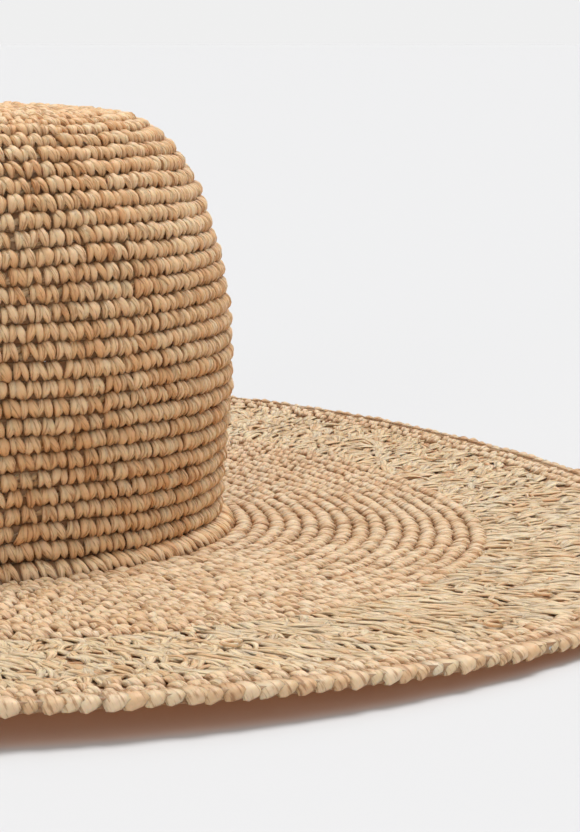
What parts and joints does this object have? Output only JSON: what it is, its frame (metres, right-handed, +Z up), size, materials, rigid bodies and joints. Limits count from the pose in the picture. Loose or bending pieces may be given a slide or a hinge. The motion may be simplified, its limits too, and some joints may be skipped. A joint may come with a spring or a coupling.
{
  "type": "straw sun hat",
  "caption": "Crocheted raffia sun hat: tall rounded crown, wide gently waved brim with a lace band near its corded edge, ribbon sweatband inside.",
  "frame": {"origin": "on the surface that the hat rests on, under the crown's axis, at the middle of the brim", "axes": "+Z up through the crown; -Y is the front; +X is to the right seen from the front"},
  "size_m": [0.5092, 0.5092, 0.1473],
  "materials": {
    "raffia": "natural raffia, satin",
    "raffia_lace": "natural raffia strands, satin",
    "brim_wire": "drawn wire",
    "sleeve_metal": "satin",
    "sweatband_ribbon": "grosgrain ribbon",
    "thread": "matt thread",
    "label_ribbon": "satin ribbon"
  },
  "bodies": {
    "root": {"crown_side": "raffia", "crown_shoulder": "raffia", "crown_tip": "raffia", "start_ring": "raffia", "turning_round": "raffia", "brim_plain_rounds": "raffia", "brim_lace_band": "raffia_lace", "brim_border_rounds": "raffia", "brim_edge_round": "raffia", "raffia_knots": "raffia_lace", "brim_wire": "brim_wire", "brim_wire_sleeve": "sleeve_metal", "sweatband": "sweatband_ribbon", "sweatband_stitches": "thread", "seam_tape": "sweatband_ribbon", "label_hem": "label_ribbon"},
    "label": {"size_label": "label_ribbon"}
  },
  "joints": [
    {"name": "label_swing", "type": "hinge", "parent": "root", "child": "label", "pos_m": [0, 0.0924, 0.0709], "axis": [-1, 0, 0], "range_deg": [0, 100]}
  ]
}
